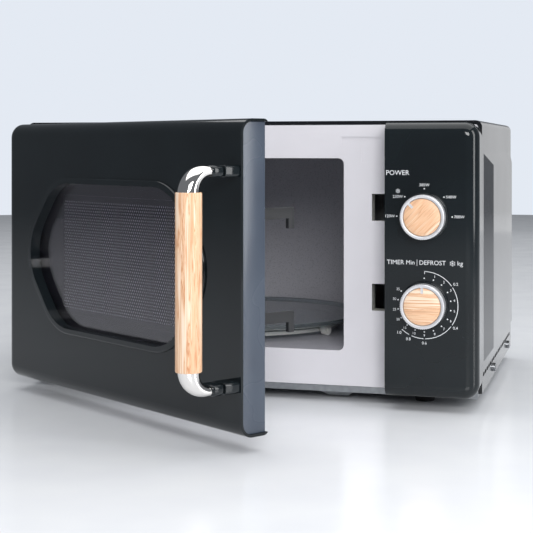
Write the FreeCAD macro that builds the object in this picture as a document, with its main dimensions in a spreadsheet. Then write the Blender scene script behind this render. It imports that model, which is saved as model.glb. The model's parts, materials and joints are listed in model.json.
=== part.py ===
import FreeCAD, Part
import os
import re

import Sketcher
from FreeCAD import Placement, Rotation, Vector

# A countertop microwave oven with a swing door, a bow handle and two rotary knobs.
# Millimetres.  X runs to the right, Y to the back, Z up.  The origin is on the table,
# under the middle of the casing.  The door and what is on it are drawn closed and then
# turned open about the hinge pins.

SIZES = {
    # Casing, in sheet steel
    "width": 440, "depth": 290, "casing_top": 255.5, "casing_low": 13, "sheet": 1.0,
    "casing_round": 6, "hem": 3.4, "hem_depth": 6,
    "emboss_rise": 4, "emboss_front": 8, "emboss_slope": 54, "emboss_back": 24,
    "emboss_low": 39, "emboss_high": 227, "emboss_bevel": 12, "emboss_tail": 8,
    "vent_low": 27, "vent_tall": 3.4, "vent_long": 11, "vent_step": 15,
    # Base, feet and front plate
    "base_low": 8, "base_sheet": 1.2, "base_flange": 13.6,
    "boss_x": 86.5, "boss_wide": 33, "boss_tip": 18, "boss_drop": 6, "boss_deep": 40,
    "foot_radius": 10, "foot_x": 165, "foot_y": 118,
    "plate_thick": 1.2, "plate_low": 14.3, "plate_side": 3.7,
    "slot_left": 121, "slot_right": 135, "slot_low": 83.5, "slot_high": 164.9,
    "slot_tall": 24.4, "groove_depth": 1.0,
    # Cavity
    "cavity_wide": 272.8, "cavity_mid": -41.4, "cavity_low": 46.1, "cavity_tall": 175.4,
    "cavity_deep": 270, "cavity_round": 5.5,
    "port_long": 70, "port_low": 160, "port_tall": 40, "port_y": 0,
    # Door
    "door_long": 357.35, "door_proud": 30.24, "door_gap": 2.8, "door_low": 12,
    "door_high": 253.4, "door_wall": 2.2, "face_round": 11, "corner_round": 13,
    "pivot_in": 7.2, "pivot_out": 8, "pivot_round": 5, "door_open": 34.15,
    "bead": 5.4, "bead_rise": 2.4, "bead_round": 2, "bead_depth": 9.6,
    "window_mid": 178.6, "window_z": 134, "window_half": 70.5, "window_apex": 150.4,
    "window_corner": 90.7, "corner_bend": 54, "nose_bend": 48,
    "pane_thick": 3, "pane_lap": 5, "screen_wide": 186, "screen_tall": 108,
    "screen_sheet": 0.6, "frame_side": 14, "frame_deep": 10,
    # Handle
    "handle_in": 9.35, "handle_out": 42, "grip_radius": 10, "grip_low": 66,
    "grip_high": 198.5, "arm_wide": 17, "arm_tall": 9, "elbow_bend": 15,
    "seam_out": 14,
    # Hinges and latch
    "pin_radius": 2.5, "pin_long": 14, "running": 0.05, "tongue": 2, "tongue_half": 3.4,
    "upper_hinge_z": 239, "lower_hinge_z": 26, "hinge_gap": 1,
    "hook_x": 125.5, "hook_thick": 4, "hook_tall": 8.5, "beak": 8, "hook_reach": 32,
    "hook_rise": 10.7, "hook_tip": 6,
    # Control panel and knobs
    "panel_left": 138.15, "panel_wall": 2.5, "knob_x": 173.2, "power_z": 171,
    "timer_z": 93.8, "ring_radius": 19.5, "skirt_radius": 21.25, "disc_radius": 16.25,
    "knob_out": 14, "skirt_thick": 3, "knob_gap": 0.3, "disc_thick": 3,
    "shaft_radius": 3, "shaft_hole": 4.5, "pointer_long": 5, "pointer_wide": 2.2,
    "power_turn": 45,
    # Turntable
    "tray_radius": 122.5, "tray_flat": 113, "tray_thick": 3.6, "tray_rim": 2.4,
    "tray_in": 137, "wheel_radius": 4.8, "wheel_thick": 6, "wheel_ring": 108,
    "wheel_gap": 0.15, "axle_radius": 1.5, "ring_in": 96, "ring_out": 101,
    "first_wheel": -24.5, "hub_radius": 8,
    # Works behind the panel
    "works_x": 158, "guide_wide": 26, "guide_half": 45, "guide_low": 150,
    "guide_top": 210, "tube_radius": 18, "dome_radius": 7, "fin_gap": 8, "fin_thick": 0.8,
    "core_left": 112, "core_wide": 94, "core_front": -20, "core_deep": 80, "core_tall": 62,
    "window_wide": 20, "leg": 12, "coil_out": 14,
    "can_front": -112, "can_deep": 50, "can_wide": 32, "can_tall": 86, "can_round": 15.5,
    "fan_z": 155, "fan_radius": 44, "fan_tip": 3, "shroud_front": 118, "shroud_half": 55,
    "shroud_deep": 24, "motor_deep": 24, "motor_half": 24,
    "gland_x": 190, "gland_z": 34, "gland_radius": 9, "gland_bore": 4,
    "screw_radius": 1.9, "screw_head": 4, "screw_cap": 2.4, "screw_hole": 2.2,
    "drive_radius": 24.5, "drive_tall": 15,
}

os.makedirs("parts", exist_ok=True)
doc = FreeCAD.newDocument("MicrowaveOven")
sheet = doc.addObject("Spreadsheet::Sheet", "Sizes")
for row, (name, size) in enumerate(SIZES.items(), start=1):
    sheet.set(f"A{row}", name)
    sheet.set(f"B{row}", str(size))
    sheet.setAlias(f"B{row}", name)
doc.recompute()

# Places worked out from the sheet's sizes, written as sums that expressions can hold.
FRONT = "(-depth / 2)"
BACK = "(depth / 2)"
SIDE = "(width / 2)"
CAVITY_LEFT = "(cavity_mid - cavity_wide / 2)"
CAVITY_RIGHT = "(cavity_mid + cavity_wide / 2)"
CAVITY_TOP = "(cavity_low + cavity_tall)"
FACE = "(-depth / 2 - door_proud)"
DOOR_LEFT = "(-width / 2)"
DOOR_RIGHT = "(-width / 2 + door_long)"
DOOR_BACK = "(-depth / 2 - door_gap)"
DOOR_INSIDE = "(-depth / 2 - door_proud + door_wall)"
PIVOT_X = "(-width / 2 + pivot_in)"
PIVOT_Y = "(-depth / 2 - pivot_out)"
WINDOW_X = "(-width / 2 + window_mid)"
PANE_FRONT = "(-depth / 2 - door_proud - bead_rise + bead_depth)"
FRAME_FRONT = "(-depth / 2 - door_proud - bead_rise + bead_depth + pane_thick + 2)"
HANDLE_X = "(-width / 2 + door_long - handle_in)"
HANDLE_Y = "(-depth / 2 - door_proud - handle_out)"
BASE_TOP = "(base_low + base_sheet)"
TRAY_Y = f"({FRONT} + tray_in)"
TRAY_LOW = "(cavity_low + 2 * wheel_gap + 2 * wheel_radius)"
WHEEL_Z = "(cavity_low + wheel_gap + wheel_radius)"
SHROUD_BACK = "(shroud_front + shroud_deep)"

TURNS = {
    "x": Rotation(Vector(0, 1, 0), 90),
    "y": Rotation(Vector(1, 0, 0), -90),
    "z": Rotation(),
}
nodes = {}


def bound(text):
    """A sum with each size's name pointing at its cell."""
    return re.sub(
        r"[a-z][a-z_]+",
        lambda word: f"Sizes.{word[0]}" if word[0] in SIZES else word[0],
        str(text),
    )


def value(text):
    result = sheet.evalExpression(bound(text))
    return float(getattr(result, "Value", result))


def bind(piece, **sums):
    for name, text in sums.items():
        piece.setExpression(name, bound(text))
    return piece


def place(piece, x=0, y=0, z=0):
    for axis, text in zip("xyz", (x, y, z)):
        piece.setExpression(f"Placement.Base.{axis}", bound(text))
    return piece


def block(x, y, z):
    """A box between three pairs of sums."""
    piece = doc.addObject("Part::Box", "Block")
    for side, (low, high) in zip(("Length", "Width", "Height"), (x, y, z)):
        piece.setExpression(side, bound(f"({high}) - ({low})"))
    return place(piece, x[0], y[0], z[0])


def rod(axis, span, centre, radius, tip=None):
    """A cylinder along an axis, or a cone where it has a tip radius."""
    low, high = span
    kind = "Part::Cylinder" if tip is None else "Part::Cone"
    piece = doc.addObject(kind, "Rod")
    piece.Placement = Placement(Vector(), TURNS[axis])
    bind(piece, Height=f"({high}) - ({low})")
    if tip is None:
        bind(piece, Radius=radius)
    else:
        bind(piece, Radius1=radius, Radius2=tip)
    where = dict(zip([name for name in "xyz" if name != axis], centre))
    where[axis] = low
    return place(piece, **where)


def join(*pieces):
    piece = doc.addObject("Part::MultiFuse", "Join")
    piece.Shapes = list(pieces)
    return piece


def cut(base, *tools):
    piece = doc.addObject("Part::Cut", "Cut")
    piece.Base = base
    piece.Tool = tools[0] if len(tools) == 1 else join(*tools)
    return piece


def round_edges(body, rounds):
    """Rounds the edges that each test picks, by their box and the body's."""
    for radius, test in rounds:
        doc.recompute()
        base = body.Tip
        shape = base.Shape
        picked = [
            f"Edge{number}"
            for number, edge in enumerate(shape.Edges, start=1)
            if test(edge.BoundBox, shape.BoundBox)
        ]
        fillet = body.newObject("PartDesign::Fillet", "Round")
        fillet.Base = (base, picked)
        bind(fillet, Radius=radius)
        body.Tip = fillet


def soft_block(x, y, z, rounds):
    """A body whose box is drawn at its place, with rounded edges."""
    body = doc.addObject("PartDesign::Body", "SoftBlock")
    box = body.newObject("PartDesign::AdditiveBox", "Box")
    for side, (low, high) in zip(("Length", "Width", "Height"), (x, y, z)):
        box.setExpression(side, bound(f"({high}) - ({low})"))
    body.Tip = box
    place(body, x[0], y[0], z[0])
    round_edges(body, rounds)
    return body


def origin_plane(body, role):
    return next(plane for plane in body.Origin.OriginFeatures if plane.Role == role)


def outline(body, plane, points):
    """A closed sketch of straight sides, each corner bound to the sheet."""
    sketch = body.newObject("Sketcher::SketchObject", "Outline")
    sketch.AttachmentSupport = (origin_plane(body, plane), [""])
    sketch.MapMode = "FlatFace"
    corners = [Vector(value(across), value(up), 0) for across, up in points]
    for number, corner in enumerate(corners):
        sketch.addGeometry(Part.LineSegment(corner, corners[(number + 1) % len(corners)]))
    for number, (across, up) in enumerate(points):
        after = (number + 1) % len(points)
        sketch.addConstraint(Sketcher.Constraint("Coincident", number, 2, after, 1))
        for kind, text, size in (
            ("DistanceX", across, corners[number].x),
            ("DistanceY", up, corners[number].y),
        ):
            if abs(size) < 1e-9:
                on_axis = -2 if kind == "DistanceX" else -1
                constraint = Sketcher.Constraint("PointOnObject", number, 1, on_axis)
                sketch.addConstraint(constraint)
                continue
            rule = Sketcher.Constraint(kind, -1, 1, number, 1, size)
            index = sketch.addConstraint(rule)
            sketch.setExpression(f"Constraints[{index}]", bound(text))
    return sketch


def turned(points, centre, axis="z"):
    """A body spun about an axis from its half section, given as radius and height."""
    body = doc.addObject("PartDesign::Body", "Turned")
    sketch = outline(body, "XZ_Plane", points)
    spin = body.newObject("PartDesign::Revolution", "Spin")
    spin.Profile = sketch
    spin.ReferenceAxis = (sketch, ["V_Axis"])
    spin.Angle = 360
    body.Tip = spin
    body.Placement = Placement(Vector(), TURNS[axis])
    return place(body, *centre)


def raised(points, y, rounds):
    """A body padded back along Y from an outline in X and Z about a given centre."""
    body = doc.addObject("PartDesign::Body", "Raised")
    sketch = outline(body, "XZ_Plane", points)
    pad = body.newObject("PartDesign::Pad", "Pad")
    pad.Profile = sketch
    bind(pad, Length=f"({y[1]}) - ({y[0]})")
    pad.Reversed = True
    body.Tip = pad
    place(body, WINDOW_X, y[0], "window_z")
    round_edges(body, rounds)
    return body


def frustum(wide, deep, tip_wide, tip_deep, tall):
    """A block that narrows towards local +Y, centred on local X and Z."""
    piece = doc.addObject("Part::Wedge", "Frustum")
    return bind(
        piece,
        Xmin=f"-({wide}) / 2", Xmax=f"({wide}) / 2",
        Zmin=f"-({deep}) / 2", Zmax=f"({deep}) / 2",
        X2min=f"-({tip_wide}) / 2", X2max=f"({tip_wide}) / 2",
        Z2min=f"-({tip_deep}) / 2", Z2max=f"({tip_deep}) / 2",
        Ymin="0", Ymax=tall,
    )


def keep(label, piece):
    piece.Label = label
    nodes[label] = piece
    return piece


def held(piece):
    """A piece wrapped so that its own place stays and the whole can be turned."""
    if piece.TypeId in ("Part::Cut", "Part::MultiFuse"):
        return piece
    wrap = doc.addObject("Part::Compound", "Held")
    wrap.Links = [piece]
    return wrap


def swing(label, piece):
    """Keeps a piece of the door, turned open about the hinge pins."""
    piece = bind(
        held(piece),
        Placement=(
            "placement(vector("
            f"{PIVOT_X} * (1 - cos(door_open * 1deg)) - {PIVOT_Y} * sin(door_open * 1deg);"
            f"{PIVOT_Y} * (1 - cos(door_open * 1deg)) + {PIVOT_X} * sin(door_open * 1deg);"
            "0); rotation(vector(0; 0; 1); -door_open))"
        ),
    )
    return keep(label, piece)


def pair(*items):
    return items


def box_span(centre, size):
    """The two ends of a size centred on a place."""
    return f"{centre} - ({size}) / 2", f"{centre} + ({size}) / 2"


def hexagon(out):
    """The window's six corners about its middle, moved out by a distance."""
    lean = "atan(window_half / (window_apex - window_corner))"
    high = f"window_half + ({out})"
    nose = f"window_apex + ({out}) / sin({lean})"
    corner = f"window_corner + ({out}) * tan({lean} / 2)"
    return [
        (corner, high), (f"-({corner})", high), (f"-({nose})", "0"),
        (f"-({corner})", f"-({high})"), (corner, f"-({high})"), (nose, "0"),
    ]


def window_form(out, y, front_round=None):
    """The window's rounded shape as a solid, moved out by a distance."""
    nose = value(f"window_apex + ({out})") * 0.9
    rounds = [
        (f"corner_bend + ({out})",
         lambda e, w: e.XLength + e.ZLength < 1e-3 and abs(e.ZMin) > 1e-3
         and abs(e.ZMin - w.ZMin) * abs(e.ZMin - w.ZMax) < 1e-3),
        (f"nose_bend + ({out})",
         lambda e, w: e.XLength + e.ZLength < 1e-3
         and abs(e.XMin - (w.XMin + w.XMax) / 2) > nose),
    ]
    if front_round:
        rounds.append((front_round, lambda e, w: e.YMax < w.YMin + 1e-3))
    return raised(hexagon(out), y, rounds)


def along_y(e):
    return e.XLength + e.ZLength < 1e-3


def front_face(e, w):
    return e.YMax < w.YMin + 1e-3


# ---- Base, feet, front plate and cavity --------------------------------------------

def make_base():
    side = "(width / 2 - plate_side - 0.4)"
    ends = ("-depth / 2 + 2.4", "depth / 2 - 2.4")
    tray = block((f"-{side}", side), ends, ("base_low", "base_flange"))
    inner = block((f"-{side} + base_sheet", f"{side} - base_sheet"),
                  (f"{ends[0]} + base_sheet", f"{ends[1]} - base_sheet"),
                  (BASE_TOP, "base_flange + 1"))
    bosses = []
    for sign in pair("-", ""):
        boss = frustum("boss_wide", "boss_deep", "boss_tip", "boss_tip", "boss_drop")
        boss.Placement = Placement(Vector(), Rotation(Vector(1, 0, 0), -90))
        bosses.append(place(boss, f"{sign}boss_x", "-depth / 2 + 26", "base_low"))
    holes = [
        rod("z", ("base_low - 1", f"{BASE_TOP} + 1"), (f"{sx}foot_x", f"{sy}foot_y"), "3.2")
        for sx in pair("-", "") for sy in pair("-", "")
    ]
    keep("base_plate", cut(join(tray, *bosses), inner, *holes))
    feet = []
    for sx in pair("-", ""):
        for sy in pair("-", ""):
            pad = rod("z", ("0", "base_low"), (f"{sx}foot_x", f"{sy}foot_y"),
                      "foot_radius * 0.85", "foot_radius")
            stud = rod("z", ("base_low - 1", f"{BASE_TOP}"),
                       (f"{sx}foot_x", f"{sy}foot_y"), "3.2")
            feet.append(join(pad, stud))
    keep("rubber_feet", join(*feet))


def slots(margin, y):
    """The two latch slots as cutting blocks, grown by a margin."""
    return [
        block((f"slot_left - ({margin})", f"slot_right + ({margin})"), y,
              (f"{low} - ({margin})", f"{low} + slot_tall + ({margin})"))
        for low in pair("slot_low", "slot_high")
    ]


def make_front_plate():
    side = f"({SIDE} - plate_side)"
    top = "(casing_top - hem - 0.3)"
    back = f"{FRONT} + plate_thick"
    plate = soft_block(
        (f"-{side}", side), (FRONT, back), ("plate_low", top),
        [("casing_round - hem", lambda e, w: along_y(e) and e.ZMin > w.ZMax - 1e-3)])
    bar_back = f"{back} + groove_depth"
    pressings = []
    grooves = []
    for x, z in (
        (pair("cavity_mid + 133.6", "cavity_mid + 171.1"), pair("233", "241")),
        (pair("cavity_mid + 152.2", "cavity_mid + 158.7"), pair("217.7", "234")),
    ):
        pressings.append(block((f"{x[0]} - 1.2", f"{x[1]} + 1.2"), (FRONT, bar_back),
                               (f"{z[0]} - 1.2", f"{z[1]} + 1.2")))
        grooves.append(block(x, (f"{FRONT} - 1", f"{FRONT} + groove_depth"), z))
    opening = soft_block(
        (CAVITY_LEFT, CAVITY_RIGHT), (f"{FRONT} - 1", f"{FRONT} + 5"),
        ("cavity_low", CAVITY_TOP), [("cavity_round", lambda e, w: along_y(e))])
    window = block(("panel_left + 9", f"{SIDE} - 12"), (f"{FRONT} - 1", f"{FRONT} + 5"),
                   ("plate_low + 22", f"{top} - 22"))
    slits = [
        block((f"{PIVOT_X} - tongue_half - 0.6", f"{PIVOT_X} + tongue_half + 0.6"),
              (f"{FRONT} - 1", f"{FRONT} + 5"), (f"{z} - tongue", f"{z} + tongue"))
        for z in pair("upper_hinge_z", "lower_hinge_z")
    ]
    keep("front_plate", cut(join(plate, *pressings), opening, window, *grooves,
                            *slots("0", (f"{FRONT} - 1", f"{FRONT} + 5")), *slits))


def make_cavity():
    front = f"{FRONT} + plate_thick"
    back = f"{FRONT} + plate_thick + cavity_deep"
    corner = [("cavity_round + sheet", lambda e, w: along_y(e))]
    shell = soft_block(
        (f"{CAVITY_LEFT} - sheet", f"{CAVITY_RIGHT} + sheet"), (front, f"{back} + sheet"),
        ("cavity_low - sheet", f"{CAVITY_TOP} + sheet"), corner)
    inside = soft_block(
        (CAVITY_LEFT, CAVITY_RIGHT), (f"{front} - 1", back), ("cavity_low", CAVITY_TOP),
        [("cavity_round", lambda e, w: along_y(e))])
    port = block((f"{CAVITY_RIGHT} - 3", f"{CAVITY_RIGHT} + 3"),
                 box_span("port_y", "port_long"), ("port_low", "port_low + port_tall"))
    shaft = rod("z", ("cavity_low - 4", "cavity_low + 4"), ("cavity_mid", TRAY_Y), "4.5")
    lamp_holes = [
        rod("x", (f"{CAVITY_RIGHT} - 3", f"{CAVITY_RIGHT} + 3"),
            (f"82 + {8 * across}", f"182 + {8 * up}"), "2")
        for across in range(4) for up in range(4)
    ]
    vent_holes = [
        rod("x", (f"{CAVITY_LEFT} - 3", f"{CAVITY_LEFT} + 3"),
            (f"60 + {8 * across}", f"182 + {8 * up}"), "2")
        for across in range(6) for up in range(4)
    ]
    keep("cavity_liner", cut(shell, inside, port, shaft, *lamp_holes, *vent_holes))
    keep("waveguide_cover", block(
        (f"{CAVITY_RIGHT} - 0.5", CAVITY_RIGHT), box_span("port_y", "port_long + 16"),
        ("port_low - 8", "port_low + port_tall + 8")))


# ---- Casing ------------------------------------------------------------------------

def make_casing():
    roof = [("casing_round", lambda e, w: along_y(e) and e.ZMin > w.ZMax - 1e-3)]
    roof_inside = [("casing_round - sheet", roof[0][1])]
    shell = soft_block((f"-{SIDE}", SIDE), (FRONT, BACK), ("casing_low", "casing_top"), roof)
    inside = soft_block((f"-{SIDE} + sheet", f"{SIDE} - sheet"),
                        (f"{FRONT} + hem_depth", f"{BACK} + 1"),
                        ("casing_low - 1", "casing_top - sheet"), roof_inside)
    mouth = soft_block((f"-{SIDE} + hem", f"{SIDE} - hem"), (f"{FRONT} - 1", f"{FRONT} + 20"),
                       ("casing_low - 1", "casing_top - hem"),
                       [("casing_round - hem", roof[0][1])])
    rises, hollows, holes = [], [], []
    run = "(depth - emboss_front - emboss_tail)"
    for sign, turn in pair(("", -90), ("-", 90)):
        for wall, group in pair(("0", rises), ("sheet", hollows)):
            piece = doc.addObject("Part::Wedge", "Emboss")
            ends = {"Xmin": "emboss_tail", "Xmax": f"emboss_tail + {run}",
                    "X2min": "emboss_tail + emboss_back",
                    "X2max": f"emboss_tail + {run} - emboss_slope"}
            if turn > 0:
                ends = {"Xmin": f"-emboss_tail - {run}", "Xmax": "-emboss_tail",
                        "X2min": f"-emboss_tail - {run} + emboss_slope",
                        "X2max": "-emboss_tail - emboss_back"}
            bind(piece, **ends, Zmin="emboss_low", Zmax="emboss_high",
                 Z2min="emboss_low + emboss_bevel / 2", Z2max="emboss_high - emboss_bevel",
                 Ymin="0", Ymax="emboss_rise + 0.4")
            piece.Placement = Placement(Vector(), Rotation(Vector(0, 0, 1), turn))
            place(piece, f"{sign}({SIDE} - 0.4 - {wall})", BACK, "0")
            group.append(piece)
        holes += [
            rod("x", box_span(f"{sign}{SIDE}", "6"), (y, "21"), "screw_hole")
            for y in pair("-47", "100")
        ]
        count = int(value("(depth - 2 * emboss_front) / vent_step"))
        holes += [
            block(box_span(f"{sign}{SIDE}", "6"),
                  (f"{FRONT} + emboss_front + {step} * vent_step",
                   f"{FRONT} + emboss_front + {step} * vent_step + vent_long"),
                  ("vent_low", "vent_low + vent_tall"))
            for step in range(count)
        ]
    keep("casing_wrap", cut(join(cut(shell, inside, mouth), *rises), *hollows, *holes))


def screw(x, y, z, out, deep="7"):
    """A pan head with a cross slot and its shank; out is +x, -x or +y, pointing outwards."""
    axis, away = out[1], out[0] == "+"
    where = {"x": x, "y": y, "z": z}
    start = where.pop(axis)
    centre = list(where.values())
    head = (start, f"{start} + screw_cap") if away else (f"{start} - screw_cap", start)
    shank = (f"{start} - {deep}", start) if away else (start, f"{start} + {deep}")
    return join(rod(axis, head, centre, "screw_head"), rod(axis, shank, centre, "screw_radius"))


def make_rear():
    side = f"({SIDE} - sheet - 0.3)"
    panel = block((f"-{side}", side), (f"{BACK} - sheet - 0.6", f"{BACK} - 0.6"),
                  ("base_flange + 0.4", "casing_top - sheet - 6"))
    tools = []
    for row in range(9):
        for column in range(2):
            x = f"works_x - 40 + {column * 42}"
            tools.append(block((x, f"{x} + 36"), (f"{BACK} - 4", f"{BACK} + 4"),
                               (f"fan_z - 40 + {row * 9}", f"fan_z - 40 + {row * 9} + 4")))
    for column in range(14):
        x = f"cavity_mid - 90 + {column * 12}"
        tools.append(block((x, f"{x} + 5"), (f"{BACK} - 4", f"{BACK} + 4"),
                           ("fan_z + 20", "fan_z + 52")))
    tools.append(rod("y", (f"{BACK} - 4", f"{BACK} + 4"), ("gland_x", "gland_z"),
                     "gland_radius - 2"))
    spots = [("-200", "60"), ("-200", "220"), ("0", "228"), ("0", "24"), ("200", "60"),
             ("200", "220")]
    tools += [rod("y", (f"{BACK} - 4", f"{BACK} + 4"), spot, "screw_hole") for spot in spots]
    keep("rear_panel", cut(panel, *tools))
    side_screws = [
        screw(f"{sign}{SIDE}", y, "21", out)
        for sign, out in pair(("", "+x"), ("-", "-x")) for y in pair("-47", "100")
    ]
    rear = [screw(x, f"{BACK} - 0.6", z, "+y") for x, z in spots]
    keep("casing_screws", join(*side_screws, *rear))
    rim = "gland_radius"
    bush = join(
        rod("y", (f"{BACK} - 0.6", f"{BACK} + 5"), ("gland_x", "gland_z"), rim, f"{rim} - 2"),
        rod("y", (f"{BACK} - 5", f"{BACK} - 0.6"), ("gland_x", "gland_z"), f"{rim} - 2"),
        rod("y", (f"{BACK} - 6", f"{BACK} - sheet - 0.6"), ("gland_x", "gland_z"), rim))
    bore = rod("y", (f"{BACK} - 8", f"{BACK} + 8"), ("gland_x", "gland_z"), "gland_bore")
    keep("cord_gland", cut(bush, bore))


# ---- Control panel and knobs -------------------------------------------------------

def make_panel():
    right = lambda e, w: along_y(e) and e.XMin > w.XMax - 1e-3
    rim = lambda e, w: front_face(e, w) and e.XMax > w.XMin + 1e-3
    shell = soft_block(("panel_left", SIDE), (FACE, f"{FRONT} - 0.2"),
                       ("door_low", "door_high"),
                       [("corner_round", right), ("face_round", rim)])
    inside = soft_block(
        ("panel_left + panel_wall", f"{SIDE} - panel_wall"),
        (f"{FACE} + panel_wall", f"{FRONT} + 4"),
        ("door_low + panel_wall", "door_high - panel_wall"),
        [("corner_round - panel_wall", right), ("face_round - panel_wall", rim)])
    holes = [rod("y", (f"{FACE} - 2", f"{FACE} + 6"), ("knob_x", z), "shaft_hole")
             for z in pair("power_z", "timer_z")]
    keep("control_panel", cut(shell, inside, *holes))
    inner = f"({FACE} + panel_wall)"
    bell = cut(rod("y", (f"{FRONT} - 3", f"{FRONT} + 7"), ("knob_x", "timer_z"), "17", "14"),
               rod("y", (f"{FRONT} - 1.6", f"{FRONT} + 8"), ("knob_x", "timer_z"), "15", "13"))
    for label, z, half, back in pair(
        ("timer_unit", "timer_z", "22", f"{FRONT} - 3"),
        ("power_selector", "power_z", "19", f"{FRONT} - 8"),
    ):
        case = soft_block(box_span("knob_x", f"2 * {half}"), (inner, back),
                          box_span(z, f"2 * {half}"), [("3", lambda e, w: along_y(e))])
        bore = rod("y", (f"{inner} - 1", f"{inner} + 12"), ("knob_x", z),
                   "shaft_radius + running")
        unit = cut(case, bore)
        if label == "timer_unit":
            unit = join(unit, bell)
        keep(label, unit)


def make_knob(name, z, angle):
    """Skirt, ring, inlay and shaft, drawn with the pointer up and turned to their place."""
    start = f"({FACE} - knob_gap)"
    tip = f"({FACE} - knob_out)"
    middle = ("knob_x", z)
    skirt_front = f"({start} - skirt_thick)"
    skirt = cut(rod("y", (skirt_front, start), middle, "skirt_radius - 0.6", "skirt_radius"),
                rod("y", (f"{skirt_front} - 1", f"{start} + 1"), middle, "shaft_radius"))
    ring = rod("y", (tip, skirt_front), middle, "ring_radius")
    floor = f"({tip} + disc_thick)"
    well = rod("y", (f"{tip} - 1", floor), middle, "disc_radius")
    tab = block(box_span("knob_x", "pointer_wide"), (tip, floor),
                (f"{z} + disc_radius - pointer_long", f"{z} + disc_radius + 0.5"))
    hollow = rod("y", (f"{floor} + 2", f"{skirt_front} + 1"), middle, "ring_radius - 3")
    stem = rod("y", (floor, skirt_front), middle, "shaft_radius + 2")
    bore = rod("y", (f"{floor} + 2", f"{skirt_front} + 1"), middle, "shaft_radius")
    ring = cut(join(cut(ring, well, hollow), stem, tab), bore)
    disc = cut(rod("y", (f"{tip} + 0.2", floor), middle, "disc_radius - 0.1"),
               block(box_span("knob_x", "pointer_wide + 0.2"), (f"{tip} - 1", f"{floor} + 1"),
                     (f"{z} + disc_radius - pointer_long - 0.1", f"{z} + disc_radius + 1")))
    shaft = rod("y", (f"{floor} + 2", f"{FACE} + panel_wall + 11"), middle, "shaft_radius")
    for part, piece in pair(("skirt", skirt), ("ring", ring), ("inlay", disc),
                            ("shaft", shaft)):
        piece = bind(held(piece), Placement=(
            f"placement(vector(knob_x * (1 - cos({angle} * 1deg)) + {z} * sin({angle} * 1deg);"
            f"0; {z} * (1 - cos({angle} * 1deg)) - knob_x * sin({angle} * 1deg));"
            f"rotation(vector(0; -1; 0); {angle}))"))
        keep(f"{name}_knob_{part}", piece)


# ---- Door --------------------------------------------------------------------------

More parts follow.
